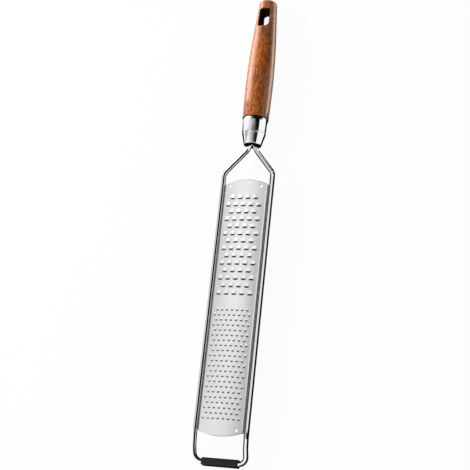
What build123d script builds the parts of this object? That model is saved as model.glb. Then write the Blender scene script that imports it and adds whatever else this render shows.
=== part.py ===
from build123d import *
import os
from math import degrees, sqrt

os.makedirs("parts", exist_ok=True)

# A rod-framed rasp zester that lies on a table with its teeth up.
# X is across the tool, Y runs from the foot to the handle's end and Z is up.
# The origin is the middle of the rubber foot's sole. Lengths are in millimetres and angles in degrees.
# Distances along the tool are counted from the axis of the foot bar.

# The chromed rod that makes the frame
rod_diameter = 4.0
frame_half_width = 20.6
shoulder_gap = 6.4
neck_length = 22.3
neck_reach = 2.4
tail_gap = 0.2
tail_end_gap = 4.0
bar_drop = 6.0
high_bend_inset = 0.9
low_bend_distance = 10.4
low_bend_drop = 1.2
neck_radius = 14.0
shoulder_radius = 7.0
high_bend_radius = 30.0
low_bend_radius = 12.0
corner_radius = 6.0
rake_angle = 0.9

# The rubber foot that is stretched over the foot bar
foot_front_wall = 1.1
foot_back_wall = 1.1
foot_top_wall = 1.1
sole_wall = 1.9
foot_end_gap = 0.1
foot_top_round = 2.6
foot_sole_round = 0.8
sole_lip_height = 1.2
sole_lip_step = 0.35
rubber_gap = 0.02

# The grating plate, one stainless sheet with its side edges bent down onto the rods
sheet_thickness = 0.6
plate_distance = 18.5
plate_end_bulge = 3.7
plate_crown_height = 3.7
plate_arch_radius = 90.0
plate_bend_run = 2.1
plate_bend_round = 1.2
lip_top_height = 0.6
lip_depth = 0.8
plate_hole_diameter = 2.6
plate_hole_bend_distance = 3.35
plate_hole_end_distance = 5.35

# Coarse teeth, in rows that are one tooth shorter by turns
coarse_end_margin = 15.5
coarse_field_length = 78.0
coarse_side_margin = 3.6
coarse_row_pitch = 5.99
coarse_pitch = 6.4
coarse_hood_width = 4.8
coarse_hood_length = 2.8
coarse_hood_height = 1.0
coarse_slit_width = 3.6
coarse_slit_gap = 1.1
coarse_wall = 0.4

# Fine teeth, in rows that are one tooth shorter by turns
field_gap = 12.5
fine_field_length = 83.0
fine_side_margin = 2.1
fine_end_margin = 13.2
fine_row_pitch = 3.95
fine_pitch = 4.08
fine_hood_width = 2.7
fine_hood_length = 1.7
fine_hood_height = 0.6
fine_slit_width = 1.8
fine_slit_gap = 0.95
fine_wall = 0.3

# All teeth
hood_crest_share = 0.55

# Weld beads under the plate's edges
weld_count = 4
weld_length = 8.0
weld_radius = 0.9
weld_sink = 0.3
weld_end_distance = 16.0

# The drawn steel ferrule
ferrule_diameter = 20.0
ferrule_edge_diameter = 19.2
ferrule_mouth_diameter = 14.3
ferrule_cone_length = 9.6
ferrule_collar_length = 12.4
ferrule_wall = 0.8
ferrule_edge_round = 0.6
mouth_round = 0.25

# The turned wooden handle, whose outline follows its length and its thickest place
handle_length = 107.4
handle_front_step = 0.6
handle_swell = 0.6
belly_distance_share = 0.3
taper_distance_share = 0.665
taper_diameter_share = 0.88
end_diameter_share = 0.64
handle_end_round = 2.2
handle_front_round = 0.4
tenon_gap = 0.05
tenon_end_gap = 0.4
tenon_chamfer = 0.6
slot_width = 8.5
slot_length = 16.5
slot_end_wall = 8.7
slot_round = 1.5
bore_depth = 46.0
resin_wall = 0.9

# One overrun serves all cuts
overrun = 1.0

rod_radius = rod_diameter / 2
tail_half_spacing = rod_radius + tail_gap / 2
sole_depth = rod_radius + sole_wall
foot_half_length = frame_half_width - corner_radius - foot_end_gap

plate_half_width = frame_half_width - rod_radius
plate_bend_half_width = plate_half_width - plate_bend_run
plate_length = coarse_end_margin + coarse_field_length + field_gap + fine_field_length + fine_end_margin
plate_far = plate_distance + plate_length
crown_height = bar_drop + plate_crown_height
lip_height = bar_drop - lip_depth

shoulder_distance = plate_far + shoulder_gap
neck_distance = shoulder_distance + neck_length
mouth_distance = neck_distance + neck_reach
collar_distance = mouth_distance + ferrule_cone_length
wood_distance = collar_distance + ferrule_collar_length
end_distance = wood_distance + handle_length

ferrule_radius = ferrule_diameter / 2
ferrule_taper = ferrule_radius - ferrule_edge_diameter / 2
front_radius = ferrule_radius + handle_front_step
belly_radius = front_radius + handle_swell
axis_height = belly_radius
tenon_front = collar_distance + tenon_end_gap
tenon_radius = ferrule_radius - ferrule_wall - tenon_gap
bore_radius = tail_half_spacing + rod_radius + resin_wall
bore_end = tenon_front + bore_depth
slot_distance = end_distance - slot_end_wall - slot_length / 2

# The side rods, the plate and its welds lie in the grater's own plane,
# which starts at the foot bar's axis and rises toward the handle at the rake angle.
grater_plane = Location((0, 0, sole_depth), (rake_angle, 0, 0))


def on_grater(x, distance, height):
    return (grater_plane * Location((x, distance, height))).position


def round_bar(radius, start, end, x, height):
    return Location((x, (start + end) / 2, height), (90, 0, 0)) * Cylinder(radius, end - start)


def rod_side(side):
    tail_x = side * tail_half_spacing
    x = side * frame_half_width
    return [
        Vector(tail_x, bore_end - tail_end_gap, axis_height),
        Vector(tail_x, neck_distance, axis_height),
        on_grater(x, shoulder_distance, bar_drop),
        on_grater(x, plate_distance + high_bend_inset, bar_drop),
        on_grater(x, low_bend_distance, bar_drop - low_bend_drop),
        on_grater(x, 0, 0),
    ]


def make_frame_wire():
    points = rod_side(-1) + rod_side(1)[::-1]
    bends = [neck_radius, shoulder_radius, high_bend_radius, low_bend_radius, corner_radius]
    path = FilletPolyline(*points, radius=bends + bends[::-1])
    section = Plane(origin=path @ 0, z_dir=path % 0) * Circle(rod_radius)
    rod = sweep(section, path=path)
    print("frame_wire volume over section times length:", round(rod.volume / (section.area * path.length), 5))
    return rod


def make_rubber_foot():
    front = -rod_radius - foot_front_wall
    back = rod_radius + foot_back_wall
    top = sole_depth + rod_radius + foot_top_wall
    body_front = front + sole_lip_step
    body = Pos((body_front + back) / 2, top / 2) * Rectangle(back - body_front, top)
    body = fillet(body.vertices().group_by(Axis.Y)[-1], foot_top_round)
    lip = Pos((front + back) / 2, sole_lip_height / 2) * Rectangle(back - front, sole_lip_height)
    outline = body + lip
    outline = fillet(outline.vertices().group_by(Axis.Y)[0], foot_sole_round)
    outline -= Pos(0, sole_depth) * Circle(rod_radius + rubber_gap)
    return extrude(Plane.YZ * outline, foot_half_length, both=True)


def plate_section():
    arch_drop = plate_arch_radius - sqrt(plate_arch_radius**2 - plate_bend_half_width**2)
    bend_height = crown_height - arch_drop
    lip_top = bar_drop + lip_top_height
    cut_off = lip_height - sheet_thickness - overrun
    edges = Polyline(
        (plate_bend_half_width, bend_height),
        (plate_half_width, lip_top),
        (plate_half_width, cut_off),
        (-plate_half_width, cut_off),
        (-plate_half_width, lip_top),
        (-plate_bend_half_width, bend_height),
    )
    arch = ThreePointArc(edges @ 1, (0, crown_height), edges @ 0)
    outer = make_face([edges, arch])
    outer = fillet([corner for corner in outer.vertices() if corner.Y > lip_height], plate_bend_round)
    inner = offset(outer, amount=-sheet_thickness)
    below_lips = Pos(0, (lip_height + cut_off) / 2) * Rectangle(2 * frame_half_width, lip_height - cut_off)
    return outer - inner - below_lips


def plate_plan():
    near_corner = plate_distance + plate_end_bulge
    far_corner = plate_far - plate_end_bulge
    near = ThreePointArc((-plate_half_width, near_corner), (0, plate_distance), (plate_half_width, near_corner))
    far = ThreePointArc((plate_half_width, far_corner), (0, plate_far), (-plate_half_width, far_corner))
    return make_face([near, Line(near @ 1, far @ 0), far, Line(far @ 1, near @ 0)])


def plate_sheet():
    far_face = Plane(origin=(0, plate_far, 0), x_dir=(1, 0, 0), z_dir=(0, -1, 0))
    bent_strip = extrude(far_face * plate_section(), plate_length)
    return bent_strip & extrude(plate_plan(), crown_height + overrun)


def tooth_places(first, field_length, side_margin, row_pitch, pitch):
    long_row = 1 + int(2 * (plate_bend_half_width - side_margin) / pitch)
    rows = 1 + int(field_length / row_pitch)
    places = []
    for row in range(rows):
        count = long_row - 1 + row % 2
        middle = (0, first - row * row_pitch, crown_height - plate_arch_radius)
        for column in range(count):
            turn = degrees((column - (count - 1) / 2) * pitch / plate_arch_radius)
            places.append(Location(middle, (0, turn, 0)) * Location((0, 0, plate_arch_radius)))
    return places


def tooth_hood(width, length, height):
    half = width / 2
    crest = half * hood_crest_share
    root = -sheet_thickness / 2
    outline = Polyline(
        (-half, root),
        (-half, 0),
        (-crest, height),
        (crest, height),
        (half, 0),
        (half, root),
        close=True,
    )
    fall = Vector(0, length, -height)
    hood = extrude(Plane.XZ * make_face(outline), fall.length, dir=fall)
    above_root = Pos(0, length / 2, (root + height) / 2) * Box(width, length, height - root)
    return hood & above_root


def tooth_slit(width, length, height, slit_width, gap, wall):
    half = width / 2
    slit_half = slit_width / 2
    flank_slope = height / (half - half * hood_crest_share)
    flank_wall = wall * sqrt(1 + flank_slope**2)
    ceiling = height - wall
    ceiling_half = half - (ceiling + flank_wall) / flank_slope
    shoulder = flank_slope * (half - slit_half) - flank_wall
    rise = gap * height / length
    bottom = -sheet_thickness - overrun
    outline = Polyline(
        (-slit_half, bottom),
        (-slit_half, shoulder + rise),
        (-ceiling_half, ceiling + rise),
        (ceiling_half, ceiling + rise),
        (slit_half, shoulder + rise),
        (slit_half, bottom),
        close=True,
    )
    fall = Vector(0, length, -height) * ((length + gap) / length)
    front = Plane.XZ.offset(gap)
    return extrude(front * make_face(outline), fall.length, dir=fall)


def plate_holes():
    x = plate_bend_half_width - plate_hole_bend_distance
    near = plate_distance + plate_hole_end_distance
    far = plate_far - plate_hole_end_distance
    drill = Pos(0, 0, crown_height) * Cylinder(plate_hole_diameter / 2, plate_crown_height)
    return [Pos(-x, far) * drill, Pos(x, far) * drill, Pos(x, near) * drill]


def make_grater_plate():
    coarse_first = plate_far - coarse_end_margin
    fine_first = coarse_first - coarse_field_length - field_gap
    coarse = tooth_places(coarse_first, coarse_field_length, coarse_side_margin, coarse_row_pitch, coarse_pitch)
    fine = tooth_places(fine_first, fine_field_length, fine_side_margin, fine_row_pitch, fine_pitch)
    coarse_size = (coarse_hood_width, coarse_hood_length, coarse_hood_height)
    fine_size = (fine_hood_width, fine_hood_length, fine_hood_height)
    coarse_hood = tooth_hood(*coarse_size)
    fine_hood = tooth_hood(*fine_size)
    coarse_slit = tooth_slit(*coarse_size, coarse_slit_width, coarse_slit_gap, coarse_wall)
    fine_slit = tooth_slit(*fine_size, fine_slit_width, fine_slit_gap, fine_wall)
    hoods = [place * coarse_hood for place in coarse] + [place * fine_hood for place in fine]
    slits = [place * coarse_slit for place in coarse] + [place * fine_slit for place in fine]
    plate = plate_sheet().fuse(*hoods)
    plate = plate.cut(*slits, *plate_holes())
    print("teeth:", len(coarse), "coarse and", len(fine), "fine")
    return grater_plane * plate


def make_weld_bead(side, distance):
    start = distance - weld_length / 2
    end = distance + weld_length / 2
    bead = round_bar(weld_radius, start, end, side * plate_half_width, lip_height - weld_sink)
    bead -= round_bar(rod_radius, start - overrun, end + overrun, side * frame_half_width, bar_drop)
    lip_middle = plate_half_width - sheet_thickness / 2
    cut_length = weld_length + 2 * overrun
    bead -= Pos(side * lip_middle, distance, bar_drop) * Box(sheet_thickness, cut_length, 2 * lip_depth)
    channel_half = (plate_half_width - sheet_thickness) / 2
    bead -= Pos(side * channel_half, distance, bar_drop) * Box(2 * channel_half, cut_length, 2 * bar_drop)
    return bead


def make_plate_welds():
    first = plate_distance + weld_end_distance
    step = (plate_length - 2 * weld_end_distance) / (weld_count - 1)
    distances = [first + index * step for index in range(weld_count)]
    beads = [make_weld_bead(side, distance) for side in (-1, 1) for distance in distances]
    return grater_plane * Compound(children=beads)


def turned(profile):
    return Pos(0, 0, axis_height) * revolve(profile, Axis.Y)


def make_ferrule():
    outside = [
        (ferrule_mouth_diameter / 2, mouth_distance),
        (ferrule_edge_diameter / 2, collar_distance),
        (ferrule_radius, wood_distance),
    ]
    inside = [(x - ferrule_wall, y) for x, y in reversed(outside)]
    profile = make_face(Polyline(*outside, *inside, close=True))
    rings = profile.vertices().group_by(Axis.Y)
    profile = fillet(rings[1], ferrule_edge_round)
    profile = fillet(profile.vertices().group_by(Axis.Y)[0], mouth_round)
    return turned(profile)


def handle_profile():
    belly = (belly_radius, wood_distance + handle_length * belly_distance_share)
    taper = (belly_radius * taper_diameter_share, wood_distance + handle_length * taper_distance_share)
    end = (belly_radius * end_diameter_share, end_distance)
    swell = TangentArc(belly, (front_radius, wood_distance), tangent=(0, -1))
    end_slope = (end[0] - taper[0], end[1] - taper[1])
    fall = Spline(belly, taper, end, tangents=[(0, 1), end_slope])
    core = Polyline(
        end,
        (0, end_distance),
        (0, tenon_front),
        (tenon_radius - ferrule_taper, tenon_front),
        (tenon_radius, wood_distance),
        (front_radius, wood_distance),
    )
    profile = make_face([swell, fall, core])
    tenon_corner = [v for v in profile.vertices().group_by(Axis.Y)[0] if v.X > 0]
    return chamfer(tenon_corner, tenon_chamfer)


def make_handle():
    wood = turned(handle_profile())
    rims = wood.edges().filter_by(GeomType.CIRCLE).sort_by(Axis.Y)
    wood = fillet(rims[-1], handle_end_round)
    front_rims = wood.edges().filter_by(GeomType.CIRCLE).filter_by_position(Axis.Y, wood_distance, wood_distance)
    wood = fillet(front_rims.sort_by(SortBy.RADIUS)[-1], handle_front_round)
    slot = SlotOverall(slot_length, slot_width, rotation=90)
    wood -= extrude(Pos(0, slot_distance, axis_height) * slot, belly_radius + overrun, both=True)
    wood = fillet(slot_rims(wood), slot_round)
    return wood - round_bar(bore_radius, tenon_front - overrun, bore_end, 0, axis_height)


def slot_rims(wood):
    middle = Vector(0, slot_distance, axis_height)
    reach = slot_length / 2 + overrun
    walls = [face for face in wood.faces() if (face.center(CenterOf.BOUNDING_BOX) - middle).length < reach]
    edges = [edge for wall in walls for edge in wall.edges()]
    return [edge for edge in edges if abs((edge @ 0).Z - (edge @ 1).Z) < slot_width / 2]


def make_tang_resin():
    fill = round_bar(bore_radius - tenon_gap, tenon_front, bore_end, 0, axis_height)
    for side in (-1, 1):
        fill -= round_bar(
            rod_radius, tenon_front - overrun, bore_end - tail_end_gap, side * tail_half_spacing, axis_height
        )
    return fill


pieces = {
    "frame_wire": make_frame_wire(),
    "rubber_foot": make_rubber_foot(),
    "grater_plate": make_grater_plate(),
    "plate_welds": make_plate_welds(),
    "ferrule": make_ferrule(),
    "handle": make_handle(),
    "tang_resin": make_tang_resin(),
}
for name, piece in pieces.items():
    export_step(piece, "parts/" + name + ".step")
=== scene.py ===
from math import atan2, cos, pi, radians, sin, sqrt, tan

import bmesh
import bpy
from mathutils import Matrix, Vector


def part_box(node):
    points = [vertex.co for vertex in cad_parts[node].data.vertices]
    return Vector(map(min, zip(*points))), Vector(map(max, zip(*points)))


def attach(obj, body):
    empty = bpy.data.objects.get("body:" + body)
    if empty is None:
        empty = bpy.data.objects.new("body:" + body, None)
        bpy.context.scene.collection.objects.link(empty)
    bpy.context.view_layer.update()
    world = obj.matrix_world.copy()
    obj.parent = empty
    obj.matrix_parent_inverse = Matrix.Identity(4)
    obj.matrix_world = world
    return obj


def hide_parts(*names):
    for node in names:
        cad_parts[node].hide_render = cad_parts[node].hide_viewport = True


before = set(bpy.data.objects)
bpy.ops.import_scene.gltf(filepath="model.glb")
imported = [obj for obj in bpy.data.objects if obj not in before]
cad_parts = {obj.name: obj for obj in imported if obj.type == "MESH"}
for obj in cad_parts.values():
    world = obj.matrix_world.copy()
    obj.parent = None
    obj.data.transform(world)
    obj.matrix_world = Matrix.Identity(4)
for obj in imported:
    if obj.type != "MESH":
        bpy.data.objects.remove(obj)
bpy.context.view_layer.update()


# The frame rod. One 4 mm steel rod, chrome plated, is bent in a jig from tail to tail: over the neck and the
# shoulders, down both sides and across the foot. Its side rods lie in the grater's plane, which rises from
# the foot bar toward the handle.

rod_radius = 0.002
frame_half_width = 0.0206
shoulder_distance = 0.2271
neck_distance = 0.2494
tail_end = 0.3038
tail_half_spacing = 0.0021
bar_drop = 0.006
high_bend_distance = 0.0194
low_bend_distance = 0.0104
low_bend_drop = 0.0012
bend_radii = (0.014, 0.007, 0.03, 0.012, 0.006)
foot_bar_height = 0.0039
rake_angle = radians(0.9)
axis_height = 0.0112
bend_steps = 20
rod_sides = 40
rod_smooth_angle = 60
chrome_ripple = (240, 60, 240)
rod_hairlines = (2600, 160, 2600)
rod_wipes = (90, 60, 90)
chrome_color = (0.93, 0.932, 0.935, 1)

grater_plane = Matrix.Translation((0, 0, foot_bar_height)) @ Matrix.Rotation(rake_angle, 4, "X")


def socket_named(sockets, name):
    if isinstance(name, int):
        return sockets[name]
    return next(socket for socket in sockets if socket.enabled and name in (socket.name, socket.identifier))


def add_node(tree, kind, inputs=None, output=0, **settings):
    node = tree.nodes.new(kind)
    for name, value in settings.items():
        setattr(node, name, value)
    for name, value in (inputs or {}).items():
        socket = socket_named(node.inputs, name)
        for single in value if isinstance(value, list) else [value]:
            if isinstance(single, bpy.types.NodeSocket):
                tree.links.new(single, socket)
            else:
                socket.default_value = single
    return socket_named(node.outputs, output) if len(node.outputs) else node


def calculate(tree, operation, *values):
    return add_node(tree, "ShaderNodeMath", dict(enumerate(values)), operation=operation)


def new_group(name, kind, inputs, outputs):
    tree = bpy.data.node_groups.new(name, kind)
    for label, socket_kind in inputs.items():
        tree.interface.new_socket(label, in_out="INPUT", socket_type="NodeSocket" + socket_kind)
    for label, socket_kind in outputs.items():
        tree.interface.new_socket(label, in_out="OUTPUT", socket_type="NodeSocket" + socket_kind)
    return tree, tree.nodes.new("NodeGroupInput").outputs


def finish_tree(tree, geometry, material):
    realized = add_node(tree, "GeometryNodeRealizeInstances", {"Geometry": geometry})
    painted = add_node(tree, "GeometryNodeSetMaterial", {"Geometry": realized, "Material": material})
    add_node(tree, "NodeGroupOutput", {0: painted})


def new_object(name, data):
    item = bpy.data.objects.new(name, data)
    bpy.context.scene.collection.objects.link(item)
    return item


def mesh_object(name, vertices, faces=(), edges=()):
    mesh = bpy.data.meshes.new(name)
    mesh.from_pydata(vertices, edges, faces)
    mesh.validate()
    return new_object(name, mesh)


def settle(piece, modifier):
    bpy.context.view_layer.update()
    grown = piece.evaluated_get(bpy.context.evaluated_depsgraph_get())
    mesh = bpy.data.meshes.new_from_object(grown)
    piece.modifiers.remove(modifier)
    piece.data = mesh


def grow_with_tree(piece, tree, values):
    modifier = piece.modifiers.new("grow", "NODES")
    modifier.node_group = tree
    for item in tree.interface.items_tree:
        if item.in_out == "INPUT" and item.name in values:
            modifier[item.identifier] = values[item.name]
    settle(piece, modifier)


def smooth_below(piece, angle):
    piece.data.shade_smooth()
    piece.data.set_sharp_from_angle(angle=radians(angle))


def new_material(name, inputs):
    material = bpy.data.materials.new(name)
    material.use_nodes = True
    shader = material.node_tree.nodes["Principled BSDF"]
    for label, value in inputs.items():
        shader.inputs[label].default_value = value
    return material, material.node_tree, shader


def feed(tree, shader, inputs):
    for label, value in inputs.items():
        tree.links.new(value, shader.inputs[label])


def object_place(tree, scale, turn=(0, 0, 0)):
    coordinates = add_node(tree, "ShaderNodeTexCoord", output="Object")
    return add_node(tree, "ShaderNodeMapping", {"Vector": coordinates, "Scale": scale, "Rotation": turn})


def noise(tree, place, detail=3, roughness=0.5, distortion=0):
    inputs = {"Vector": place, "Scale": 1, "Detail": detail, "Roughness": roughness, "Distortion": distortion}
    return add_node(tree, "ShaderNodeTexNoise", inputs, output="Fac")


def grain(tree, scale, turn=(0, 0, 0), **settings):
    return noise(tree, object_place(tree, scale, turn), **settings)


def spread(tree, value, low, high, start=0, end=1):
    inputs = {"Value": value, "From Min": low, "From Max": high, "To Min": start, "To Max": end}
    return add_node(tree, "ShaderNodeMapRange", inputs)


def bump(tree, height, strength, distance):
    return add_node(tree, "ShaderNodeBump", {"Height": height, "Strength": strength, "Distance": distance})


# Handled steel keeps faint wipe marks and hairlines. The rod, the plate and the ferrule all show them.
handled, marks_in = new_group(
    "handled_steel", "ShaderNodeTree",
    {"Hairlines": "Vector", "Wipes": "Vector"},
    {"Wipe": "Float", "Hairline": "Float"},
)
wipe_noise = noise(handled, marks_in["Wipes"], detail=4, roughness=0.6)
wipe_mask = spread(handled, wipe_noise, 0.42, 0.68)
hairline_noise = noise(handled, marks_in["Hairlines"], detail=2, roughness=0.7)
hairline_mask = spread(handled, hairline_noise, 0.58, 0.72)
add_node(handled, "NodeGroupOutput", {"Wipe": wipe_mask, "Hairline": hairline_mask})


def handled_roughness(tree, hairlines, wipes, clean, wiped, scored):
    node = tree.nodes.new("ShaderNodeGroup")
    node.node_tree = handled
    feed(tree, node, {"Hairlines": object_place(tree, hairlines), "Wipes": object_place(tree, wipes)})
    smear = spread(tree, node.outputs["Wipe"], 0, 1, clean, wiped)
    return calculate(tree, "MULTIPLY_ADD", node.outputs["Hairline"], scored, smear)


def chrome_plating():
    material, tree, shader = new_material("chrome_plating", {"Base Color": chrome_color, "Metallic": 1})
    feed(tree, shader, {
        "Roughness": handled_roughness(tree, rod_hairlines, rod_wipes, clean=0.02, wiped=0.05, scored=0.04),
        "Normal": bump(tree, grain(tree, chrome_ripple, detail=2), 0.12, distance=0.00006),
    })
    return material


def rod_corners():
    right = [Vector((tail_half_spacing, distance, axis_height)) for distance in (tail_end, neck_distance)]
    right += [grater_plane @ Vector(point) for point in (
        (frame_half_width, shoulder_distance, bar_drop),
        (frame_half_width, high_bend_distance, bar_drop),
        (frame_half_width, low_bend_distance, bar_drop - low_bend_drop),
        (frame_half_width, 0, 0),
    )]
    left = [Vector((-point.x, point.y, point.z)) for point in right]
    return right + left[::-1]


def bent_rod_tree():
    tree, inputs = new_group(
        "bent_rod", "GeometryNodeTree",
        {"Corners": "Geometry", "Rod Radius": "Float", "Bend Steps": "Int", "Sides": "Int",
         "Finish": "Material"},
        {"Rod": "Geometry"},
    )
    path = add_node(tree, "GeometryNodeMeshToCurve", {"Mesh": inputs["Corners"]})
    radius = add_node(tree, "GeometryNodeInputNamedAttribute", {"Name": "bend_radius"}, data_type="FLOAT")
    bent = add_node(tree, "GeometryNodeFilletCurve",
                    {"Curve": path, "Count": inputs["Bend Steps"], "Radius": radius}, mode="POLY")
    section = add_node(tree, "GeometryNodeCurvePrimitiveCircle",
                       {"Resolution": inputs["Sides"], "Radius": inputs["Rod Radius"]})
    rod = add_node(tree, "GeometryNodeCurveToMesh",
                   {"Curve": bent, "Profile Curve": section, "Fill Caps": True})
    finish_tree(tree, rod, inputs["Finish"])
    return tree


corners = rod_corners()
frame_rod = mesh_object("frame_rod", corners, edges=[(i, i + 1) for i in range(len(corners) - 1)])
corner_radii = [0, *bend_radii, *reversed(bend_radii), 0]
frame_rod.data.attributes.new("bend_radius", "FLOAT", "POINT").data.foreach_set("value", corner_radii)
grow_with_tree(frame_rod, bent_rod_tree(), {
    "Rod Radius": rod_radius, "Bend Steps": bend_steps, "Sides": rod_sides, "Finish": chrome_plating(),
})
smooth_below(frame_rod, rod_smooth_angle)
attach(frame_rod, "root")
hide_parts("frame_wire")


# The foot. A black rubber sleeve is stretched over the foot bar. It has a flat sole with a thin lip at its
# front edge, a soft round over its top and slightly rounded ends.

foot_low, foot_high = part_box("rubber_foot")
foot_lip_height = 0.0012
foot_lip_step = 0.00035
foot_top_round = 0.0026
foot_sole_round = 0.0008
foot_end_round = 0.0005
foot_bore_radius = 0.00202
foot_round_steps = 8
foot_lip_steps = 3
foot_end_steps = 4
foot_smooth_angle = 35
rubber_mottle = (260, 260, 260)
rubber_grain = (4200, 4200, 4200)
rubber_color = (0.005, 0.005, 0.005, 1)
rubber_dust_color = (0.013, 0.013, 0.0135, 1)


def arc_points(center, radius, start, end, steps):
    turns = [radians(start + (end - start) * step / steps) for step in range(steps + 1)]
    return [(center[0] + radius * cos(turn), center[1] + radius * sin(turn)) for turn in turns]


def foot_outline(inset):
    front, back = foot_low.y + inset, foot_high.y - inset
    bottom, top = foot_low.z + inset, foot_high.z - inset
    body_front = front + foot_lip_step
    lip_top = foot_low.z + foot_lip_height
    top_round, sole_round = foot_top_round - inset, foot_sole_round - inset
    points = arc_points((back - sole_round, bottom + sole_round), sole_round, -90, 0, foot_round_steps)
    points += [(back, lip_top), (back, foot_bar_height)]
    points += arc_points((back - top_round, top - top_round), top_round, 0, 90, foot_round_steps)
    points += arc_points((body_front + top_round, top - top_round), top_round, 90, 180, foot_round_steps)
    points += [(body_front, foot_bar_height), (body_front, lip_top + foot_lip_step)]
    points += arc_points((body_front, lip_top - foot_lip_step), foot_lip_step, 90, 180, foot_lip_steps)
    points += arc_points((front + sole_round, bottom + sole_round), sole_round, 180, 270, foot_round_steps)
    return points


def foot_stations():
    center = (foot_high.x - foot_end_round, foot_end_round)
    half = arc_points(center, foot_end_round, 0, -90, foot_end_steps)
    return sorted({(side * x, inset) for x, inset in half for side in (-1, 1)})


def tube_faces(loops):
    faces = []
    for near, far in zip(loops, loops[1:]):
        for i in range(len(near)):
            j = (i + 1) % len(near)
            faces.append((near[i], near[j], far[j], far[i]))
    return faces


def even_loops(count, sides):
    return [range(loop * sides, (loop + 1) * sides) for loop in range(count)]


def foot_mesh():
    turns = [atan2(z - foot_bar_height, y) for y, z in foot_outline(foot_end_round)]
    bore = [(foot_bore_radius * cos(turn), foot_bar_height + foot_bore_radius * sin(turn)) for turn in turns]
    rings = [(x, foot_outline(inset)) for x, inset in foot_stations()]
    rings = [(-foot_high.x, bore), *rings, (foot_high.x, bore)]
    vertices = [(x, y, z) for x, ring in rings for y, z in ring]
    loops = even_loops(len(rings), len(bore))
    return vertices, tube_faces([*loops, loops[0]])


def blend_colors(tree, factor, first, second):
    inputs = {"Factor": factor, "A": first, "B": second}
    return add_node(tree, "ShaderNodeMix", inputs, output="Result", data_type="RGBA")


def moulded_rubber():
    material, tree, shader = new_material("moulded_rubber", {"Specular IOR Level": 0.3})
    mottle = grain(tree, rubber_mottle, detail=5, roughness=0.65)
    dusty = spread(tree, mottle, 0.5, 0.8)
    feed(tree, shader, {
        "Base Color": blend_colors(tree, dusty, rubber_color, rubber_dust_color),
        "Roughness": spread(tree, mottle, 0.3, 0.7, 0.32, 0.46),
        "Normal": bump(tree, grain(tree, rubber_grain, detail=2), 0.25, distance=0.00003),
    })
    return material


def point_outwards(piece, merge=0.0):
    shell = bmesh.new()
    shell.from_mesh(piece.data)
    if merge:
        bmesh.ops.remove_doubles(shell, verts=shell.verts, dist=merge)
    bmesh.ops.recalc_face_normals(shell, faces=shell.faces)
    shell.to_mesh(piece.data)
    shell.free()


foot = mesh_object("foot_sleeve", *foot_mesh())
foot.data.materials.append(moulded_rubber())
point_outwards(foot)
smooth_below(foot, foot_smooth_angle)
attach(foot, "root")
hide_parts("rubber_foot")


# The grating plate. One 0.6 mm stainless sheet is arched, its long edges are bent down onto the side rods,
# and rows of hooded teeth are punched up out of it: coarse ones toward the handle, fine ones toward the foot.

sheet_thickness = 0.0006
plate_distance = 0.0185
plate_far = 0.2207
plate_end_bulge = 0.0037
plate_half_width = 0.0186
plate_bend_half_width = 0.0174
crown_height = 0.0097
arch_radius = 0.09
lip_bottom_height = 0.0052
lip_top_height = 0.0066
plate_bend_round = 0.0015
near_edge_slant = 0.00028
far_edge_slant = 0.00045
plate_bend_steps = 5
arch_steps = 36
hole_radius = 0.0013
hole_half_spacing = 0.01315
hole_end_distance = 0.00535
drill_sides = 32
drill_depth = 5 * sheet_thickness
crest_power = 4.5
tail_narrowing_share = 0.3
cut_overrun = 0.0006
hood_sink = 0.00001
slit_lift = 0.0002
plate_smooth_angle = 9
brush_lines = (5200, 45, 1500)
plate_hairlines = (3200, 60, 900)
plate_wipes = (70, 35, 70)
steel_dull = (0.87, 0.87, 0.873, 1)
steel_bright = (0.93, 0.93, 0.932, 1)
coarse_rows = {
    "Coarse Rows": 14, "Coarse Long Row": 5, "Coarse First Row": 0.2052, "Coarse Row Pitch": 0.00599,
    "Coarse Tooth Pitch": 0.0064,
}
coarse_tooth = {
    "width": 0.0048, "length": 0.0028, "height": 0.001, "slit": 0.0036, "gap": 0.0011, "wall": 0.0004,
    "hood_grid": (11, 5), "slit_grid": (7, 5),
}
fine_rows = {
    "Fine Rows": 22, "Fine Long Row": 8, "Fine First Row": 0.1147, "Fine Row Pitch": 0.00395,
    "Fine Tooth Pitch": 0.00408,
}
fine_tooth = {
    "width": 0.0027, "length": 0.0017, "height": 0.0006, "slit": 0.0018, "gap": 0.00095, "wall": 0.0003,
    "hood_grid": (9, 4), "slit_grid": (5, 4),
}


def rounded_corner(before, corner, after, radius, steps):
    first = (before - corner).normalized()
    second = (after - corner).normalized()
    half_angle = first.angle(second) / 2
    start = corner + first * (radius / tan(half_angle))
    end = corner + second * (radius / tan(half_angle))
    center = corner + (first + second).normalized() * (radius / sin(half_angle))
    points = []
    for step in range(steps + 1):
        toward = (start - center).lerp(end - center, step / steps).normalized()
        points.append(center + toward * radius)
    return points


def plate_section():
    arch_half = plate_bend_half_width / arch_radius
    half_turn = atan2(arch_half, sqrt(1 - arch_half**2))
    arch = []
    for step in range(arch_steps + 1):
        turn = half_turn * (2 * step / arch_steps - 1)
        arch.append(Vector((arch_radius * sin(turn), crown_height - arch_radius + arch_radius * cos(turn))))
    lip = [Vector((plate_half_width, lip_bottom_height)), Vector((plate_half_width, lip_top_height))]
    right = arch[len(arch) // 2:-1]
    right += rounded_corner(arch[-2], arch[-1], lip[1], plate_bend_round, plate_bend_steps)
    right += rounded_corner(arch[-1], lip[1], lip[0], plate_bend_round, plate_bend_steps)
    right.append(lip[0])
    left = [Vector((-point.x, point.y)) for point in right[:0:-1]]
    return left + right


def thinned(points):
    inner = []
    for i, point in enumerate(points):
        along = points[min(i + 1, len(points) - 1)] - points[max(i - 1, 0)]
        if i in (0, len(points) - 1):
            along = Vector((0, 1 if i == 0 else -1))
        inner.append(point + Vector((along.y, -along.x)).normalized() * sheet_thickness)
    return inner


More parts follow.
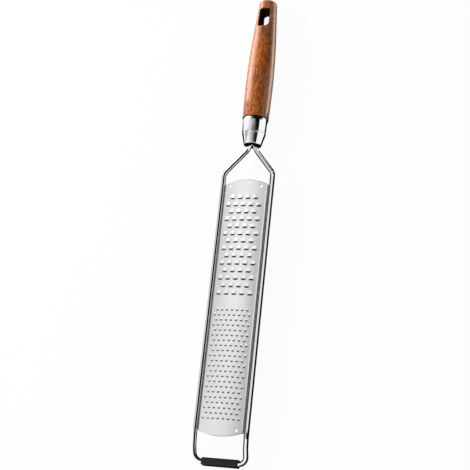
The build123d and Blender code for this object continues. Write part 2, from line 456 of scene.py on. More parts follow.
def plate_ends(x):
    bulge_radius = (plate_half_width**2 + plate_end_bulge**2) / (2 * plate_end_bulge)
    step_back = bulge_radius - sqrt(bulge_radius**2 - x**2)
    return plate_distance + step_back, plate_far - step_back


def sheet_mesh():
    outer = plate_section()
    loop = outer + thinned(outer)[::-1]
    vertices = []
    for i, point in enumerate(loop):
        near, far = plate_ends(point.x)
        if i < len(outer):
            near += near_edge_slant
            far -= far_edge_slant
        vertices += [(point.x, near, point.y), (point.x, far, point.y)]
    count = len(loop)
    faces = tube_faces([range(0, 2 * count, 2), range(1, 2 * count, 2)])
    for end in (0, 1):
        for i in range(count // 2 - 1):
            opposite = count - 1 - i
            faces.append((2 * i + end, 2 * i + 2 + end, 2 * opposite - 2 + end, 2 * opposite + end))
    return vertices, faces


def tooth_half_width(tooth, size, y):
    share = max(y, 0) / tooth["length"]
    return tooth[size] / 2 * (1 - tail_narrowing_share * share**2)


def hood_height(tooth, x, y):
    crest = 1 - min(abs(x) / tooth_half_width(tooth, "width", y), 1) ** crest_power
    fall = 1 - max(y, 0) / tooth["length"]
    return tooth["height"] * crest * fall - x**2 / (2 * arch_radius)


def closed_grid(columns, rows, point, floor):
    vertices = [point(i, j) for j in range(rows) for i in range(columns)]
    faces = []
    for j in range(rows - 1):
        for i in range(columns - 1):
            corner = j * columns + i
            faces.append((corner, corner + 1, corner + columns + 1, corner + columns))
    last = rows * columns - 1
    rim = [*range(columns), *range(2 * columns - 1, last, columns), *range(last, last - columns, -1)]
    rim += range((rows - 2) * columns, 0, -columns)
    base = len(vertices)
    vertices += [(vertices[i][0], vertices[i][1], floor) for i in rim]
    for i, top in enumerate(rim):
        j = (i + 1) % len(rim)
        faces.append((top, base + i, base + j, rim[j]))
    faces.append(tuple(base + i for i in range(len(rim)))[::-1])
    return vertices, faces


def hood_mesh(tooth):
    columns, rows = tooth["hood_grid"]

    def point(i, j):
        y = tooth["length"] * j / (rows - 1)
        x = tooth_half_width(tooth, "width", y) * (2 * i / (columns - 1) - 1)
        return x, y, hood_height(tooth, x, y) - hood_sink

    return closed_grid(columns, rows, point, -sheet_thickness / 2)


def slit_mesh(tooth):
    columns, rows = tooth["slit_grid"]

    def point(i, j):
        y = -tooth["gap"] if j == 0 else tooth["length"] * (j - 1) / (rows - 2)
        x = tooth_half_width(tooth, "slit", y) * (2 * i / (columns - 1) - 1)
        ceiling = hood_height(tooth, x, y) - tooth["wall"]
        return x, y, max(ceiling, slit_lift) if y <= 0 else ceiling

    return closed_grid(columns, rows, point, -sheet_thickness - cut_overrun)


def drill_mesh():
    vertices = []
    faces = []
    near, far = plate_distance + hole_end_distance, plate_far - hole_end_distance
    for side, distance in ((-1, far), (1, far), (1, near)):
        low = range(len(vertices), len(vertices) + drill_sides)
        high = range(low.stop, low.stop + drill_sides)
        for height in (crown_height - drill_depth, crown_height + sheet_thickness):
            for i in range(drill_sides):
                turn = 2 * pi * i / drill_sides
                x = side * hole_half_spacing + hole_radius * cos(turn)
                vertices.append((x, distance + hole_radius * sin(turn), height))
        faces += [*tube_faces([low, high]), tuple(low)[::-1], tuple(high)]
    return vertices, faces


def multiply(tree, first, second):
    return calculate(tree, "MULTIPLY", first, second)


row_inputs = {
    "Rows": "Int", "Long Row": "Int", "First Row": "Float", "Row Pitch": "Float", "Tooth Pitch": "Float",
}
arch_inputs = {"Arch Radius": "Float", "Crown Height": "Float"}


def tooth_rows_tree():
    tree, inputs = new_group(
        "tooth_rows", "GeometryNodeTree",
        {"Tooth": "Geometry", **row_inputs, **arch_inputs}, {"Teeth": "Geometry"},
    )
    long_row = inputs["Long Row"]
    index = add_node(tree, "GeometryNodeInputIndex")
    row = calculate(tree, "FLOOR", calculate(tree, "DIVIDE", calculate(tree, "ADD", index, 0.5), long_row))
    column = calculate(tree, "SUBTRACT", index, multiply(tree, row, long_row))
    last = calculate(tree, "SUBTRACT", calculate(tree, "ADD", long_row, calculate(tree, "MODULO", row, 2)), 2)
    across = calculate(tree, "SUBTRACT", column, multiply(tree, last, 0.5))
    arc = multiply(tree, across, inputs["Tooth Pitch"])
    turn = calculate(tree, "DIVIDE", arc, inputs["Arch Radius"])
    x = multiply(tree, calculate(tree, "SINE", turn), inputs["Arch Radius"])
    drop = calculate(tree, "SUBTRACT", 1, calculate(tree, "COSINE", turn))
    fall = multiply(tree, drop, inputs["Arch Radius"])
    z = calculate(tree, "SUBTRACT", inputs["Crown Height"], fall)
    back = multiply(tree, row, inputs["Row Pitch"])
    y = calculate(tree, "SUBTRACT", inputs["First Row"], back)
    place = add_node(tree, "ShaderNodeCombineXYZ", {"X": x, "Y": y, "Z": z})
    count = multiply(tree, inputs["Rows"], long_row)
    points = add_node(tree, "GeometryNodePoints", {"Count": count, "Position": place})
    used = add_node(tree, "FunctionNodeCompare", {"A": column, "B": calculate(tree, "ADD", last, 0.5)},
                    data_type="FLOAT", operation="LESS_THAN")
    teeth = add_node(tree, "GeometryNodeInstanceOnPoints", {
        "Points": points, "Selection": used, "Instance": inputs["Tooth"],
        "Rotation": add_node(tree, "ShaderNodeCombineXYZ", {"Y": turn}),
    })
    realized = add_node(tree, "GeometryNodeRealizeInstances", {"Geometry": teeth})
    add_node(tree, "NodeGroupOutput", {0: realized})
    return tree


def punched_plate_tree(rows_tree):
    fields = ("Coarse ", "Fine ")
    wanted = {"Sheet": "Geometry", "Drills": "Object", **arch_inputs}
    for field in fields:
        wanted |= {field + "Hood": "Object", field + "Slit": "Object"}
        wanted |= {field + size: kind for size, kind in row_inputs.items()}
    wanted["Finish"] = "Material"
    tree, inputs = new_group("punched_plate", "GeometryNodeTree", wanted, {"Plate": "Geometry"})

    def shape(label):
        return add_node(tree, "GeometryNodeObjectInfo", {"Object": inputs[label]}, output="Geometry")

    def field_of(field, part):
        node = tree.nodes.new("GeometryNodeGroup")
        node.node_tree = rows_tree
        feed(tree, node, {"Tooth": shape(field + part)})
        feed(tree, node, {size: inputs[field + size] for size in row_inputs})
        feed(tree, node, {size: inputs[size] for size in arch_inputs})
        return node.outputs[0]

    hoods = [field_of(field, "Hood") for field in fields]
    raised = add_node(tree, "GeometryNodeMeshBoolean", {"Mesh 2": [inputs["Sheet"], *hoods]},
                      operation="UNION", solver="MANIFOLD")
    cuts = add_node(tree, "GeometryNodeJoinGeometry",
                    {"Geometry": [shape("Drills"), *[field_of(field, "Slit") for field in fields]]})
    punched = add_node(tree, "GeometryNodeMeshBoolean", {"Mesh 1": raised, "Mesh 2": cuts},
                       operation="DIFFERENCE", solver="MANIFOLD")
    finish_tree(tree, punched, inputs["Finish"])
    return tree


def brushed_stainless():
    material, tree, shader = new_material("brushed_stainless", {"Metallic": 1})
    lines = grain(tree, brush_lines, detail=4, roughness=0.6)
    feed(tree, shader, {
        "Base Color": blend_colors(tree, spread(tree, lines, 0.3, 0.7), steel_dull, steel_bright),
        "Roughness": handled_roughness(tree, plate_hairlines, plate_wipes, clean=0.28, wiped=0.31,
                                       scored=0.05),
        "Normal": bump(tree, lines, 0.1, distance=0.00002),
    })
    return material


plate = mesh_object("grater_sheet", *sheet_mesh())
point_outwards(plate)
tools = {
    "Coarse Hood": mesh_object("coarse_hood", *hood_mesh(coarse_tooth)),
    "Coarse Slit": mesh_object("coarse_slit", *slit_mesh(coarse_tooth)),
    "Fine Hood": mesh_object("fine_hood", *hood_mesh(fine_tooth)),
    "Fine Slit": mesh_object("fine_slit", *slit_mesh(fine_tooth)),
    "Drills": mesh_object("corner_drills", *drill_mesh()),
}
for tool in tools.values():
    point_outwards(tool)
grow_with_tree(plate, punched_plate_tree(tooth_rows_tree()), {
    **tools, **coarse_rows, **fine_rows,
    "Arch Radius": arch_radius, "Crown Height": crown_height, "Finish": brushed_stainless(),
})
for tool in tools.values():
    bpy.data.objects.remove(tool)
plate.data.transform(grater_plane)
smooth_below(plate, plate_smooth_angle)
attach(plate, "root")
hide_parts("grater_plate")


# The weld beads. The sheet is welded to the frame from below: short fillets of steel join its bent edges to
# the two side rods, four on each side, rippled by the torch and tinted by its heat.

bead_count = 4
bead_length = 0.008
bead_radius = 0.0009
bead_sink = 0.0003
bead_end_distance = 0.016
bead_ripples = 7
bead_ripple_share = 0.06
bead_blunt_power = 6
bead_rings = 42
bead_sides = 14
bead_turn_limit = 0.3
bead_turn_seed = 4
bead_merge = 0.000001
bead_smooth_angle = 50
weld_mottle = (420, 260, 420)
weld_silver = (0.5, 0.49, 0.48, 1)
weld_straw = (0.42, 0.31, 0.2, 1)


def bead_mesh():
    vertices = []
    for ring in range(bead_rings + 1):
        share = ring / bead_rings
        swell = sqrt(max(1 - (2 * share - 1) ** bead_blunt_power, 0))
        radius = bead_radius * swell * (1 + bead_ripple_share * sin(2 * pi * bead_ripples * share))
        for side in range(bead_sides):
            turn = 2 * pi * side / bead_sides
            vertices.append((radius * cos(turn), bead_length * (share - 0.5), radius * sin(turn)))
    return vertices, tube_faces(even_loops(bead_rings + 1, bead_sides))


def bead_row_tree():
    tree, inputs = new_group(
        "bead_rows", "GeometryNodeTree",
        {"Bead": "Geometry", "Beads a Side": "Int", "First": "Float", "Step": "Float",
         "Half Spacing": "Float", "Height": "Float", "Finish": "Material"},
        {"Beads": "Geometry"},
    )
    index = add_node(tree, "GeometryNodeInputIndex")
    side = calculate(tree, "MODULO", index, 2)
    order = calculate(tree, "FLOOR", multiply(tree, index, 0.5))
    mirrored = calculate(tree, "MULTIPLY_ADD", side, 2, -1)
    x = multiply(tree, mirrored, inputs["Half Spacing"])
    y = calculate(tree, "MULTIPLY_ADD", order, inputs["Step"], inputs["First"])
    place = add_node(tree, "ShaderNodeCombineXYZ", {"X": x, "Y": y, "Z": inputs["Height"]})
    count = multiply(tree, inputs["Beads a Side"], 2)
    points = add_node(tree, "GeometryNodePoints", {"Count": count, "Position": place})
    turn = add_node(tree, "FunctionNodeRandomValue",
                    {"Min_001": -bead_turn_limit, "Max_001": bead_turn_limit, "Seed": bead_turn_seed},
                    output="Value", data_type="FLOAT")
    beads = add_node(tree, "GeometryNodeInstanceOnPoints", {
        "Points": points, "Instance": inputs["Bead"],
        "Rotation": add_node(tree, "ShaderNodeCombineXYZ", {"Y": turn}),
    })
    finish_tree(tree, beads, inputs["Finish"])
    return tree


def weld_steel():
    material, tree, shader = new_material("weld_steel", {"Metallic": 1})
    heat = grain(tree, weld_mottle, detail=4, roughness=0.6)
    feed(tree, shader, {
        "Base Color": blend_colors(tree, spread(tree, heat, 0.4, 0.62), weld_silver, weld_straw),
        "Roughness": spread(tree, heat, 0.3, 0.7, 0.3, 0.5),
        "Normal": bump(tree, heat, 0.4, distance=0.0001),
    })
    return material


bead_step = (plate_far - plate_distance - 2 * bead_end_distance) / (bead_count - 1)
beads = mesh_object("weld_beads", *bead_mesh())
grow_with_tree(beads, bead_row_tree(), {
    "Beads a Side": bead_count, "First": plate_distance + bead_end_distance, "Step": bead_step,
    "Half Spacing": plate_half_width, "Height": lip_bottom_height - bead_sink, "Finish": weld_steel(),
})
beads.data.transform(grater_plane)
point_outwards(beads, bead_merge)
smooth_below(beads, bead_smooth_angle)
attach(beads, "root")
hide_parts("plate_welds")


# The ferrule. A drawn stainless tube, mirror polished: a collar that holds the handle's shouldered front,
# then at a crisp edge a cone down to the open mouth that the two rod tails go through.

mouth_distance = 0.2518
collar_distance = 0.2614
wood_distance = 0.2738
ferrule_radius = 0.01
ferrule_edge_radius = 0.0096
ferrule_mouth_radius = 0.00715
ferrule_wall = 0.0008
ferrule_edge_round = 0.0006
ferrule_rim_round = 0.0002
ferrule_sides = 144
ferrule_edge_steps = 6
ferrule_rim_steps = 4
ferrule_smooth_angle = 30
turning_rings = (4, 2600, 4)
ferrule_hairlines = (160, 3000, 160)
ferrule_wipes = (120, 120, 120)
# A thin grey band painted round the edge between collar and cone is a painted reflection line. Its width and
# its colour follow.
painted_edge_line_width = 0.0004
ferrule_color = (0.93, 0.935, 0.93, 1)
painted_edge_line_color = (0.3, 0.3, 0.3, 1)


def lathe_mesh(profile, sides, closed=False):
    vertices = []
    for radius, distance in profile:
        for side in range(sides):
            turn = 2 * pi * side / sides
            vertices.append((radius * sin(turn), distance, axis_height + radius * cos(turn)))
    loops = even_loops(len(profile), sides)
    if closed:
        return vertices, tube_faces([*loops, loops[0]])
    return vertices, [*tube_faces(loops), tuple(loops[0]), tuple(loops[-1])[::-1]]


def ferrule_profile():
    mouth = Vector((ferrule_mouth_radius, mouth_distance))
    edge = Vector((ferrule_edge_radius, collar_distance))
    back = Vector((ferrule_radius, wood_distance))
    inward = Vector((-ferrule_wall, 0))
    inner_mouth, inner_edge, inner_back = mouth + inward, edge + inward, back + inward
    profile = rounded_corner(inner_mouth, mouth, edge, ferrule_rim_round, ferrule_rim_steps)
    profile += rounded_corner(mouth, edge, back, ferrule_edge_round, ferrule_edge_steps)
    profile += [edge.lerp(back, 0.5)]
    profile += rounded_corner(edge, back, inner_back, ferrule_rim_round / 2, ferrule_rim_steps - 1)
    profile += [inner_back, inner_edge]
    profile += rounded_corner(inner_edge, inner_mouth, mouth, ferrule_rim_round, ferrule_rim_steps)
    return profile


def object_coordinate(tree, axis):
    place = add_node(tree, "ShaderNodeTexCoord", output="Object")
    return add_node(tree, "ShaderNodeSeparateXYZ", {0: place}, output=axis)


def polished_stainless():
    material, tree, shader = new_material("polished_stainless", {"Metallic": 1})
    # Painted reflection: the base colour turns grey in a thin band round the edge between collar and cone.
    from_edge = calculate(tree, "SUBTRACT", object_coordinate(tree, "Y"), collar_distance)
    from_break = calculate(tree, "ABSOLUTE", from_edge)
    painted_edge_line = spread(tree, from_break, painted_edge_line_width / 4, painted_edge_line_width / 2, 1, 0)
    feed(tree, shader, {
        "Base Color": blend_colors(tree, painted_edge_line, ferrule_color, painted_edge_line_color),
        "Roughness": handled_roughness(
            tree, ferrule_hairlines, ferrule_wipes, clean=0.05, wiped=0.1, scored=0.05,
        ),
        "Normal": bump(tree, grain(tree, turning_rings), 0.08, distance=0.00002),
    })
    return material


ferrule = mesh_object("ferrule_tube", *lathe_mesh(ferrule_profile(), ferrule_sides, closed=True))
ferrule.data.materials.append(polished_stainless())
point_outwards(ferrule)
smooth_below(ferrule, ferrule_smooth_angle)
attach(ferrule, "root")
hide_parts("ferrule")


# The handle. One turned piece of reddish-brown hardwood with a satin oil finish. It swells behind the ferrule
# and tapers to a flat rounded end, where an oblong hanging slot with a softened rim goes right through it.

handle_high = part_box("handle")[1]
handle_length = handle_high.y - wood_distance
belly_distance_share = 0.3
taper_distance_share = 0.665
taper_radius_share = 0.88
end_radius_share = 0.64
belly_radius = 0.0112
front_radius = 0.0106
belly_distance = wood_distance + belly_distance_share * handle_length
taper_distance = wood_distance + taper_distance_share * handle_length
taper_radius = taper_radius_share * belly_radius
end_radius = end_radius_share * belly_radius
end_round = 0.0022
front_round = 0.0004
tenon_radius = 0.00915
tenon_front_radius = 0.00875
tenon_front = 0.2618
tenon_chamfer = 0.0006
bore_radius = 0.005
bore_end = 0.3078
axis_gap = 0.0001
slot_half_width = 0.0044
slot_half_length = 0.00825
slot_corner_radius = 0.003
slot_end_distance = 0.01695
slot_distance = handle_high.y - slot_end_distance
slot_rim_round = 0.0009
slot_rim_sweep = 62
slot_flare = 6 * slot_rim_round
slot_step = 0.0015
slot_corner_steps = 12
slot_rim_steps = 6
profile_steps = 56
tip_steps = 10
front_steps = 4
cap_shares = (0.66, 0.33, 0.02)
handle_sides = 160
handle_merge = 0.00000001
handle_smooth_angle = 42
drift_scale = (60, 12, 60)
fleck_scale = (700, 190, 700)
fibre_scale = (2100, 480, 2100)
pore_scale = (1500, 300, 1500)
drift_share, fleck_share, fibre_share, pore_share = 0.18, 0.47, 0.35, 0.75
fibre_tilt = (0.02, 0, 0.05)
fleck_turn = (0, 0, 0.3)
fibre_relief, pore_relief = 0.4, -0.7
oil_tint = (1, 0.7, 0.5, 1)
oil_coat = 0.9
# Painted shade in the slot and along the joint with the ferrule: its share, the extra roughness there, the
# softness of its edges and how far the joint line reaches back.
painted_shade_share = 0.97
raw_dullness = 0.4
painted_shade_fade = 0.0003
joint_shadow_depth = 0.0008
wood_light = (0.62, 0.185, 0.03, 1)
wood_middle = (0.32, 0.066, 0.007, 1)
wood_dark = (0.12, 0.021, 0.0025, 1)
# The colour of the painted shade in the slot and at the joint.
wood_painted_shade = (0.018, 0.006, 0.002, 1)


def hermite(start, end, start_slope, end_slope, y):
    span = end[1] - start[1]
    share = (y - start[1]) / span
    rest = 1 - share
    ends = (1 + 2 * share) * rest**2 * start[0] + share**2 * (3 - 2 * share) * end[0]
    slopes = share * rest**2 * start_slope - share**2 * rest * end_slope
    return ends + span * slopes


def handle_radius(y):
    belly, taper = (belly_radius, belly_distance), (taper_radius, taper_distance)
    end = (end_radius, handle_high.y)
    if y <= belly_distance:
        rise = belly_radius - front_radius
        run = belly_distance - wood_distance
        swell_radius = (run**2 + rise**2) / (2 * rise)
        return belly_radius - swell_radius + sqrt(swell_radius**2 - (belly_distance - y) ** 2)
    first_run, second_run = taper[1] - belly[1], end[1] - taper[1]
    first_slope = (taper[0] - belly[0]) / first_run
    end_slope = (end[0] - taper[0]) / second_run
    slopes = 3 * (first_run * end_slope + second_run * first_slope) - first_run * end_slope
    taper_slope = slopes / (2 * (first_run + second_run))
    if y <= taper_distance:
        return hermite(belly, taper, 0, taper_slope, y)
    return hermite(taper, end, taper_slope, end_slope, y)


def handle_profile():
    start = wood_distance + front_round
    end = handle_high.y - end_round
    side = []
    for step in range(profile_steps + 1):
        y = start + (end - start) * step / profile_steps
        side.append((handle_radius(y), y))
    tip = arc_points((side[-1][0] - end_round, end), end_round, 0, 90, tip_steps)[1:]
    front = arc_points((front_radius - front_round, start), front_round, -90, 0, front_steps)[:-1]
    tenon = [
        (bore_radius, tenon_front),
        (tenon_front_radius - tenon_chamfer, tenon_front),
        (tenon_front_radius, tenon_front + tenon_chamfer),
        (tenon_radius, wood_distance),
    ]
    cap = [(tip[-1][0] * share, handle_high.y) for share in cap_shares]
    return [(axis_gap, bore_end), (bore_radius, bore_end), *tenon, *front, *side, *tip, *cap]


def slot_outline():
    corner = Vector((slot_half_width - slot_corner_radius, slot_half_length - slot_corner_radius))
    rounds = []
    for quarter, (across, along) in enumerate(((1, 1), (-1, 1), (-1, -1), (1, -1))):
        center = Vector((across * corner.x, slot_distance + along * corner.y))
        for step in range(slot_corner_steps + 1):
            turn = pi / 2 * (quarter + step / slot_corner_steps)
            outward = Vector((cos(turn), sin(turn)))
            rounds.append((center + outward * slot_corner_radius, outward))
    outline = []
    for (point, outward), (after, _) in zip(rounds, rounds[1:] + rounds[:1]):
        steps = max(1, round((after - point).length / slot_step))
        outline += [(point.lerp(after, step / steps), outward) for step in range(steps)]
    return outline


def slot_cutter():
    outline = slot_outline()
    center = (slot_rim_round, -slot_rim_round)
    rim = arc_points(center, slot_rim_round, 180, 180 - slot_rim_sweep, slot_rim_steps)
    last_out, last_up = rim[-1]
    turn = radians(slot_rim_sweep)
    rim.append((last_out + slot_flare * sin(turn), last_up + slot_flare * cos(turn)))
    levels = [(out, up, -1) for out, up in rim[::-1]] + [(out, up, 1) for out, up in rim]
    vertices = []
    for out, up, side in levels:
        for point, outward in outline:
            surface = sqrt(handle_radius(min(point.y, handle_high.y)) ** 2 - point.x**2)
            place = point + outward * out
            vertices.append((place.x, place.y, axis_height + side * (surface + up)))
    loops = even_loops(len(levels), len(outline))
    return vertices, [*tube_faces(loops), tuple(loops[0])[::-1], tuple(loops[-1])]


def oiled_hardwood():
    material, tree, shader = new_material("oiled_hardwood", {
        "Specular IOR Level": 0.15, "Specular Tint": oil_tint, "Coat Roughness": 0.13,
    })
    drift = grain(tree, drift_scale, fibre_tilt)
    fleck = grain(tree, fleck_scale, fleck_turn, roughness=0.55, distortion=0.8)
    fibre = grain(tree, fibre_scale, fibre_tilt, detail=4, roughness=0.65)
    figure = calculate(tree, "MULTIPLY_ADD", fleck, fleck_share, multiply(tree, fibre, fibre_share))
    figure = calculate(tree, "MULTIPLY_ADD", drift, drift_share, figure)
    wood = blend_colors(tree, spread(tree, figure, 0.42, 0.48), wood_dark, wood_middle)
    wood = blend_colors(tree, spread(tree, figure, 0.49, 0.55), wood, wood_light)
    pores = spread(tree, grain(tree, pore_scale, fleck_turn, detail=2), 0.55, 0.66)
    wood = blend_colors(tree, multiply(tree, pores, pore_share), wood, wood_dark)

    # Painted shade: the inside of the slot and a thin band at the front, where the wood meets the ferrule,
    # are coloured nearly black for the shade deep in the slot and the shadow line at the joint. These parts
    # also lose the oil coat and turn rougher.
    along = object_coordinate(tree, "Y")
    from_middle = calculate(tree, "ABSOLUTE", object_coordinate(tree, "X"))
    from_slot = calculate(tree, "ABSOLUTE", calculate(tree, "SUBTRACT", along, slot_distance))
    beside = spread(tree, from_middle, slot_half_width, slot_half_width + painted_shade_fade, 1, 0)
    beyond = spread(tree, from_slot, slot_half_length, slot_half_length + painted_shade_fade, 1, 0)
    in_slot = multiply(tree, beside, beyond)
    joint_shadow = spread(tree, along, wood_distance + painted_shade_fade, wood_distance + joint_shadow_depth, 1, 0)
    dull_and_painted_shade = calculate(tree, "MAXIMUM", in_slot, joint_shadow)
    satin = spread(tree, figure, 0.35, 0.65, 0.4, 0.3)
    relief = calculate(tree, "MULTIPLY_ADD", pores, pore_relief, multiply(tree, fibre, fibre_relief))
    feed(tree, shader, {
        "Base Color": blend_colors(tree, multiply(tree, dull_and_painted_shade, painted_shade_share), wood, wood_painted_shade),
        "Coat Weight": spread(tree, dull_and_painted_shade, 0, 1, oil_coat, 0),
        "Roughness": calculate(tree, "MULTIPLY_ADD", dull_and_painted_shade, raw_dullness, satin),
        "Normal": bump(tree, relief, 0.3, distance=0.0001),
    })
    return material


handle = mesh_object("turned_handle", *lathe_mesh(handle_profile(), handle_sides))
point_outwards(handle, handle_merge)
cutter = mesh_object("slot_cutter", *slot_cutter())
point_outwards(cutter)
cut = handle.modifiers.new("slot", "BOOLEAN")
cut.operation = "DIFFERENCE"
cut.solver = "EXACT"
cut.object = cutter
settle(handle, cut)
bpy.data.objects.remove(cutter)
handle.data.materials.clear()
handle.data.materials.append(oiled_hardwood())
smooth_below(handle, handle_smooth_angle)
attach(handle, "root")
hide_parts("handle")


# The filling. Dark casting resin is poured round the two rod tails in the handle's bore and holds them there.
# Only its face shows, deep inside the ferrule's mouth.

resin_dark = (0.012, 0.008, 0.006, 1)
resin_amber = (0.03, 0.02, 0.013, 1)
resin_cloud = (500, 500, 500)


def cured_resin():
    material, tree, shader = new_material("cured_resin", {"Specular IOR Level": 0.5})
    cloud = grain(tree, resin_cloud, detail=4, roughness=0.6)
    feed(tree, shader, {
        "Base Color": blend_colors(tree, spread(tree, cloud, 0.35, 0.65), resin_dark, resin_amber),
        "Roughness": spread(tree, cloud, 0.3, 0.7, 0.3, 0.45),
        "Normal": bump(tree, cloud, 0.3, distance=0.0001),
    })
    return material


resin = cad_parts["tang_resin"]
resin.data.materials.clear()
resin.data.materials.append(cured_resin())


# The studio. A white floor lies under plain soft light, with a painted shadow right under the plate. Dark and
# bright cards that only polished metal and oiled wood pick up stand round the tool, as a photographer sets
# them out, and paint dark and bright reflections into them to give chrome its edges; the bright cards glow
# but light nothing.

camera_place = (0.27826, -0.06232, 0.7514)
camera_turn = (19.006, 18.998, 6.669)
camera_lens = 80.39
sensor_width = 36
floor_half_width = 3
floor_drop = 0.0001
floor_color = (0.84, 0.84, 0.84, 1)
floor_glow_share = 0.95
# Painted shadow on the floor under the plate: where it lies across and along, how soft its edges are and its
# colour. There the floor shows its matte shading without the glow.
painted_shadow_across = (-0.026, 0.0135)
painted_shadow_along = (0.025, 0.2155)
painted_shadow_edge = 0.004
painted_shadow_color = (0.13, 0.13, 0.13, 1)
sky_strength = 0.25
white = (1, 1, 1, 1)
black = (0.004, 0.004, 0.004, 1)
warm = (1, 0.72, 0.52, 1)
warm_strength = 5
pale = (1, 0.93, 0.8, 1)
pale_strength = 7

# An arched card: where it starts and ends along the tool, and how much it covers at each turn from straight
# above, in degrees.
far_distance, near_distance, bright_distance = 1.5, 0.06, 0.12
card_steps = 6
plate_tones = ((-80, 0.55), (-50, 0.5), (-36, 0.3), (-28, 0.1), (-21, 0), (-14, 0), (-8, 0.1), (-4, 0.3),
               (0, 0.8), (6, 0.8), (12, 0.05), (30, 0))
ferrule_tones = ((-46, 0), (-26, 0.2), (-8, 0.5), (9, 0.7), (26, 0.96), (32, 1), (57, 1), (62, 0))
joint_tones = ((20, 0), (28, 1), (55, 1), (60, 0))
handle_tones = ((-45, 0), (-15, 0.75), (5, 1), (20, 1), (88, 1), (92, 0))
far_cards = {
    "card_over_cone": ((-0.15, 0.14), ferrule_tones),
    "card_over_plate": ((0.14, 0.765), plate_tones),
    "card_over_joint": ((0.9, 1.05), joint_tones),
    "card_over_handle": ((1.05, 1.4), handle_tones),
}
collar_reach = (0.276, 0.328)
# A glowing arched card close over the handle paints its broad highlight. It is seen only in reflections and
# lights nothing.
handle_highlight_reach = (0.333, 0.47)
handle_highlight_tones = ((-110, 0), (-96, 0.5), (-72, 1), (-50, 0.6), (-35, 0.15), (-25, 0))

# A lying card: its two opposite corners on the floor.
card_height = 0.0003
# The dark cards lying under the plate, the ferrule and the handle are painted shade: they put the tool's
# shade on the floor into what the metal and wood reflect.
lying_cards = {
    "card_under_plate": ((-0.018, -0.03), (0.034, 0.243)),
    "card_under_ferrule": ((-0.095, 0.243), (0.02, 0.283)),
    "card_under_handle": ((-0.02, 0.283), (0.0145, 0.4)),
}
# A glowing card lying beside the handle paints a warm highlight along the side of the handle that faces it,
# seen only in reflections.
beside_handle = ((0.022, 0.287), (0.045, 0.42))

# A ribbon card along the rod: its two edges, each as the distance outward from the rod's middle and above it.
# The dark ribbons paint dark reflection lines along the chrome rod.
ribbon_steps = 8
rod_side_end = 0.2255
shoulder_start, shoulder_end = 0.2235, 0.2575
shoulder_inside, left_inside = 0.0045, 0.003
right_side_cards = {
    "card_beside_right_rod": ((0.0034, -0.0045), (0.0034, 0.0037)),
    "card_over_right_seam": ((-0.0006, 0.0024), (-0.0024, 0.0015)),
}
shoulder_cards = {
    "card_outside_shoulder": ((0.003, -0.0045), (0.003, 0.0024)),
    "card_inside_shoulder": ((-0.003, -0.0045), (-0.003, 0.0022)),
}
left_side_cards = {
    "card_over_left_rod": ((0.0001, 0.003), (-0.0021, 0.003)),
    "card_beside_left_rod": ((-0.0021, 0.003), (-0.0021, 0.0018)),
    "card_over_left_seam": ((-0.0017, 0.0013), (-0.0024, 0.0015)),
}

window_place = (-1.02, 0.45, 0.78)
window_width = 0.9
window_watts = 22
stage_middle = Vector((0, 0.19, 0))


def seen_directly(tree):
    rays = tree.nodes.new("ShaderNodeLightPath").outputs
    seen = calculate(tree, "MAXIMUM", rays["Is Camera Ray"], rays["Is Glossy Ray"])
    return calculate(tree, "MAXIMUM", seen, rays["Is Transmission Ray"])


def between(tree, value, low, high):
    rise = spread(tree, value, low, low + painted_shadow_edge)
    return multiply(tree, rise, spread(tree, value, high - painted_shadow_edge, high, 1, 0))


def empty_material(name):
    material = bpy.data.materials.new(name)
    material.use_nodes = True
    material.node_tree.nodes.clear()
    return material, material.node_tree


def white_floor():
    material, tree = empty_material("white_floor")
    # A darker patch is painted on the floor right under the plate as its shadow, and the glow is taken away
    # there.
    across = between(tree, object_coordinate(tree, "X"), *painted_shadow_across)
    along = between(tree, object_coordinate(tree, "Y"), *painted_shadow_along)
    shade = multiply(tree, across, along)
    matte_color = blend_colors(tree, shade, floor_color, painted_shadow_color)
    matte = add_node(tree, "ShaderNodeBsdfDiffuse", {"Color": matte_color})
    glow = add_node(tree, "ShaderNodeEmission", {"Color": white})
    share = multiply(tree, seen_directly(tree), spread(tree, shade, 0, 1, floor_glow_share, 0))
    surface = add_node(tree, "ShaderNodeMixShader", {0: share, 1: matte, 2: glow})
    add_node(tree, "ShaderNodeOutputMaterial", {"Surface": surface})
    return material


def studio_world():
    world = bpy.data.worlds.new("studio_world")
    world.use_nodes = True
    tree = world.node_tree
    tree.nodes.clear()
    strength = spread(tree, seen_directly(tree), 0, 1, sky_strength, 1)
    sky = add_node(tree, "ShaderNodeBackground", {"Color": white, "Strength": strength})
    add_node(tree, "ShaderNodeOutputWorld", {"Surface": sky})
    return world


def card_material(name, color, strength):
    material, tree = empty_material(name)
    cover = add_node(tree, "ShaderNodeAttribute", output="Fac", attribute_name="cover")
    clear = add_node(tree, "ShaderNodeBsdfTransparent")
    painted = add_node(tree, "ShaderNodeEmission", {"Color": color, "Strength": strength})
    surface = add_node(tree, "ShaderNodeMixShader", {0: cover, 1: clear, 2: painted})
    add_node(tree, "ShaderNodeOutputMaterial", {"Surface": surface})
    return material


def place_card(name, vertices, faces, cover, material):
    card = mesh_object(name, vertices, faces)
    card.data.attributes.new("cover", "FLOAT", "POINT").data.foreach_set("value", cover)
    card.data.materials.append(material)
    card.visible_camera = card.visible_diffuse = card.visible_shadow = card.visible_transmission = False


def ladder_faces(rungs):
    return [(2 * i, 2 * i + 1, 2 * i + 3, 2 * i + 2) for i in range(rungs - 1)]


def arched_card(name, distance, reach, tones, material):
    turns = [tones[0]]
    for start, end in zip(tones, tones[1:]):
        for step in range(1, card_steps + 1):
            turns.append(tuple(a + (b - a) * step / card_steps for a, b in zip(start, end)))
    vertices = []
    cover = []
    for turn, dark in turns:
        x, z = distance * sin(radians(turn)), axis_height + distance * cos(radians(turn))
        vertices += [(x, reach[0], z), (x, reach[1], z)]
        cover += [dark, dark]
    place_card(name, vertices, ladder_faces(len(turns)), cover, material)


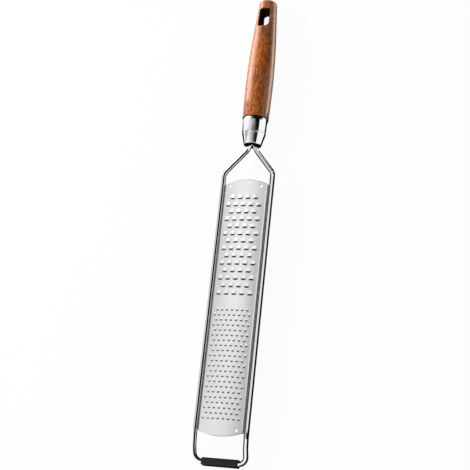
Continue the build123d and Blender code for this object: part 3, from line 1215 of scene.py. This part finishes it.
def lying_card(name, span, material):
    (left, front), (right, back) = span
    vertices = [(x, y, card_height) for x, y in ((left, front), (right, front), (right, back), (left, back))]
    place_card(name, vertices, [(0, 1, 2, 3)], [1] * len(vertices), material)


def bent_path(points, radii):
    path = [points[0]]
    for i in range(1, len(points) - 1):
        path += rounded_corner(points[i - 1], points[i], points[i + 1], radii[i], ribbon_steps)
    return path + [points[-1]]


def ribbon_card(name, path, edges, material):
    vertices = []
    for before, point, after in zip(path[:1] + path, path, path[1:] + path[-1:]):
        heading = after - before
        outward = Vector((-heading.y, heading.x, 0)).normalized()
        for side, up in edges:
            place = point + outward * side
            vertices.append((place.x, place.y, max(place.z + up, card_height)))
    place_card(name, vertices, ladder_faces(len(path)), [1] * len(vertices), material)


floor = mesh_object("studio_floor", [
    (x * floor_half_width, y * floor_half_width, -floor_drop) for x, y in ((-1, -1), (1, -1), (1, 1), (-1, 1))
], [(0, 1, 2, 3)])
floor.data.materials.append(white_floor())

# Dark cards seen only in reflections paint dark reflections into the metal and wood.
dark_card = card_material("black_card", black, 1)
for name, (reach, tones) in far_cards.items():
    arched_card(name, far_distance, reach, tones, dark_card)
arched_card("card_over_collar", near_distance, collar_reach, ferrule_tones, dark_card)
for name, span in lying_cards.items():
    lying_card(name, span, dark_card)

rod_path = bent_path(corners, corner_radii)
right_side = [point for point in rod_path if point.x > 0 and point.y < rod_side_end]
shoulder = [point for point in rod_path
            if point.x > shoulder_inside and shoulder_start < point.y < shoulder_end]
left_side = [point for point in rod_path if point.x < -left_inside and point.y < shoulder_end]
for path, cards in ((right_side, right_side_cards), (shoulder, shoulder_cards), (left_side, left_side_cards)):
    for name, edges in cards.items():
        ribbon_card(name, path, edges, dark_card)

# Glowing cards that light nothing: painted highlights on the handle.
lying_card("card_beside_handle", beside_handle, card_material("warm_card", warm, warm_strength))
pale_card = card_material("pale_card", pale, pale_strength)
arched_card("card_lighting_handle", bright_distance, handle_highlight_reach, handle_highlight_tones, pale_card)

light = bpy.data.lights.new("window", "AREA")
light.size = window_width
light.energy = window_watts
window = new_object("window", light)
window.location = window_place
window.rotation_euler = (stage_middle - window.location).to_track_quat("-Z", "Y").to_euler()
window.visible_glossy = False

bpy.context.scene.world = studio_world()
camera = bpy.data.cameras.new("camera")
camera.lens = camera_lens
camera.sensor_width = sensor_width
camera_object = new_object("camera", camera)
camera_object.location = camera_place
camera_object.rotation_euler = [radians(turn) for turn in camera_turn]
bpy.context.scene.camera = camera_object
bpy.context.scene.view_settings.view_transform = "Standard"
